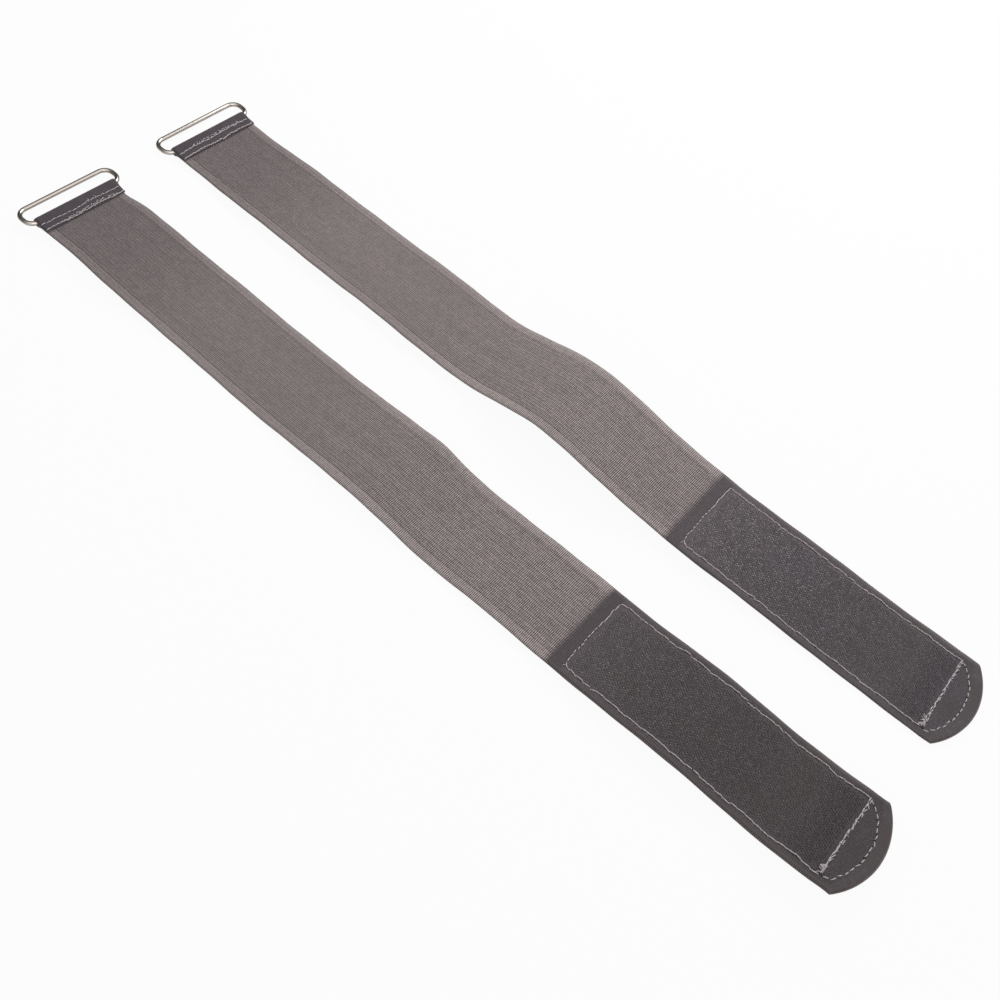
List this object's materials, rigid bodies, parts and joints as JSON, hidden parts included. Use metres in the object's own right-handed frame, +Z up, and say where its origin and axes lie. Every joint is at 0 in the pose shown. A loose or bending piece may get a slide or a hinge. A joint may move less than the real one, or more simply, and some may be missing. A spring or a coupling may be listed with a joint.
{
  "type": "esd wrist strap",
  "caption": "Pair of elastic wrist straps lying flat, each with a wire ring in a sewn hem and a rounded tab of hook tape to close the loop.",
  "frame": {"origin": "middle of the pair in plan, on the surface it lies on", "axes": "+X along the straps from the rings to the hook tabs, +Y from the near strap to the far one, +Z up"},
  "size_m": [0.3921, 0.1121, 0.0129],
  "materials": {
    "webbing": "knitted elastic webbing",
    "hook_tape": "woven hook tape",
    "thread": "twisted thread",
    "ring_metal": "polished nickel plate"
  },
  "bodies": {
    "root": {"near_hem_band": "webbing", "near_hem_stitching": "thread", "far_hem_band": "webbing", "far_hem_stitching": "thread"},
    "near_ring_body": {"near_ring": "ring_metal"},
    "near_flex_panel_2": {"near_band_2": "webbing"},
    "near_flex_panel_3": {"near_band_3": "webbing"},
    "near_flex_panel_4": {"near_band_4": "webbing"},
    "near_flex_panel_5": {"near_band_5": "webbing"},
    "near_flex_panel_6": {"near_band_6": "webbing"},
    "near_flex_panel_7": {"near_tab_1": "webbing", "near_hook_tape_1": "hook_tape", "near_tape_stitching_1": "thread"},
    "near_flex_panel_8": {"near_tab_2": "webbing", "near_hook_tape_2": "hook_tape", "near_tape_stitching_2": "thread"},
    "near_flex_panel_9": {"near_tab_3": "webbing", "near_hook_tape_3": "hook_tape", "near_tape_stitching_3": "thread", "near_cross_stitching": "thread", "near_tip_stitching": "thread"},
    "far_ring_body": {"far_ring": "ring_metal"},
    "far_flex_panel_2": {"far_band_2": "webbing"},
    "far_flex_panel_3": {"far_band_3": "webbing"},
    "far_flex_panel_4": {"far_band_4": "webbing"},
    "far_flex_panel_5": {"far_band_5": "webbing"},
    "far_flex_panel_6": {"far_band_6": "webbing"},
    "far_flex_panel_7": {"far_tab_1": "webbing", "far_hook_tape_1": "hook_tape", "far_tape_stitching_1": "thread"},
    "far_flex_panel_8": {"far_tab_2": "webbing", "far_hook_tape_2": "hook_tape", "far_tape_stitching_2": "thread"},
    "far_flex_panel_9": {"far_tab_3": "webbing", "far_hook_tape_3": "hook_tape", "far_tape_stitching_3": "thread", "far_cross_stitching": "thread", "far_tip_stitching": "thread"}
  },
  "joints": [
    {"name": "near_ring_swivel", "type": "hinge", "parent": "root", "child": "near_ring_body", "pos_m": [-0.18569, -0.0335, 0.0026], "axis": [-0.0037, 0.9994, -0.0349], "range_deg": [0, 150]},
    {"name": "near_flex_1", "type": "hinge", "parent": "root", "child": "near_flex_panel_2", "pos_m": [-0.14268, -0.03331, 0.00341], "axis": [0.0032, -0.9997, 0.0244], "range_deg": [0, 36]},
    {"name": "near_flex_2", "type": "hinge", "parent": "near_flex_panel_2", "child": "near_flex_panel_3", "pos_m": [-0.09877, -0.03322, 0.00121], "axis": [0.0022, -1, 0.007], "range_deg": [0, 36]},
    {"name": "near_flex_3", "type": "hinge", "parent": "near_flex_panel_3", "child": "near_flex_panel_4", "pos_m": [-0.05486, -0.03314, 0.00115], "axis": [0.0013, -1, 0.0052], "range_deg": [0, 36]},
    {"name": "near_flex_4", "type": "hinge", "parent": "near_flex_panel_4", "child": "near_flex_panel_5", "pos_m": [-0.01096, -0.03309, 0.00378], "axis": [0.0003, -1, 0.0052], "range_deg": [0, 36]},
    {"name": "near_flex_5", "type": "hinge", "parent": "near_flex_panel_5", "child": "near_flex_panel_6", "pos_m": [0.03295, -0.03311, 0.00125], "axis": [-0.0006, -1, 0.0087], "range_deg": [0, 36]},
    {"name": "near_flex_6", "type": "hinge", "parent": "near_flex_panel_6", "child": "near_flex_panel_7", "pos_m": [0.07686, -0.03314, 0.00217], "axis": [-0.0016, -0.9998, 0.0209], "range_deg": [0, 36]},
    {"name": "near_flex_7", "type": "hinge", "parent": "near_flex_panel_7", "child": "near_flex_panel_8", "pos_m": [0.11645, -0.03317, 0.00505], "axis": [-0.0024, -0.9996, 0.0297], "range_deg": [0, 36]},
    {"name": "near_flex_8", "type": "hinge", "parent": "near_flex_panel_8", "child": "near_flex_panel_9", "pos_m": [0.15603, -0.03332, 0.00505], "axis": [-0.0033, -0.9991, 0.0419], "range_deg": [0, 36]},
    {"name": "far_ring_swivel", "type": "hinge", "parent": "root", "child": "far_ring_body", "pos_m": [-0.18439, 0.03346, 0.0019], "axis": [0.0209, 0.9998, 0], "range_deg": [0, 150]},
    {"name": "far_flex_1", "type": "hinge", "parent": "root", "child": "far_flex_panel_2", "pos_m": [-0.14132, 0.03256, 0.00361], "axis": [-0.0179, -0.9998, 0], "range_deg": [0, 36]},
    {"name": "far_flex_2", "type": "hinge", "parent": "far_flex_panel_2", "child": "far_flex_panel_3", "pos_m": [-0.09735, 0.03191, 0.0039], "axis": [-0.0119, -0.9999, 0], "range_deg": [0, 36]},
    {"name": "far_flex_3", "type": "hinge", "parent": "far_flex_panel_3", "child": "far_flex_panel_4", "pos_m": [-0.05337, 0.03151, 0.00425], "axis": [-0.0059, -1, -0.0035], "range_deg": [0, 36]},
    {"name": "far_flex_4", "type": "hinge", "parent": "far_flex_panel_4", "child": "far_flex_panel_5", "pos_m": [-0.00967, 0.03146, 0.00573], "axis": [0.0001, -0.9997, -0.0244], "range_deg": [0, 36]},
    {"name": "far_flex_5", "type": "hinge", "parent": "far_flex_panel_5", "child": "far_flex_panel_6", "pos_m": [0.0336, 0.03145, 0.0117], "axis": [0.0061, -0.9996, -0.0279], "range_deg": [0, 36]},
    {"name": "far_flex_6", "type": "hinge", "parent": "far_flex_panel_6", "child": "far_flex_panel_7", "pos_m": [0.0771, 0.03193, 0.00463], "axis": [0.0119, -0.9999, -0.007], "range_deg": [0, 36]},
    {"name": "far_flex_7", "type": "hinge", "parent": "far_flex_panel_7", "child": "far_flex_panel_8", "pos_m": [0.11674, 0.0325, 0.00359], "axis": [0.0174, -0.9998, 0], "range_deg": [0, 36]},
    {"name": "far_flex_8", "type": "hinge", "parent": "far_flex_panel_8", "child": "far_flex_panel_9", "pos_m": [0.15637, 0.03329, 0.00189], "axis": [0.0228, -0.9997, 0], "range_deg": [0, 36]}
  ],
  "couplings": [
    {"joint": "near_flex_2", "follows": "near_flex_1", "ratio": 1},
    {"joint": "near_flex_3", "follows": "near_flex_1", "ratio": 1},
    {"joint": "near_flex_4", "follows": "near_flex_1", "ratio": 1},
    {"joint": "near_flex_5", "follows": "near_flex_1", "ratio": 1},
    {"joint": "near_flex_6", "follows": "near_flex_1", "ratio": 1},
    {"joint": "near_flex_7", "follows": "near_flex_1", "ratio": 1},
    {"joint": "near_flex_8", "follows": "near_flex_1", "ratio": 1},
    {"joint": "far_flex_2", "follows": "far_flex_1", "ratio": 1},
    {"joint": "far_flex_3", "follows": "far_flex_1", "ratio": 1},
    {"joint": "far_flex_4", "follows": "far_flex_1", "ratio": 1},
    {"joint": "far_flex_5", "follows": "far_flex_1", "ratio": 1},
    {"joint": "far_flex_6", "follows": "far_flex_1", "ratio": 1},
    {"joint": "far_flex_7", "follows": "far_flex_1", "ratio": 1},
    {"joint": "far_flex_8", "follows": "far_flex_1", "ratio": 1}
  ]
}
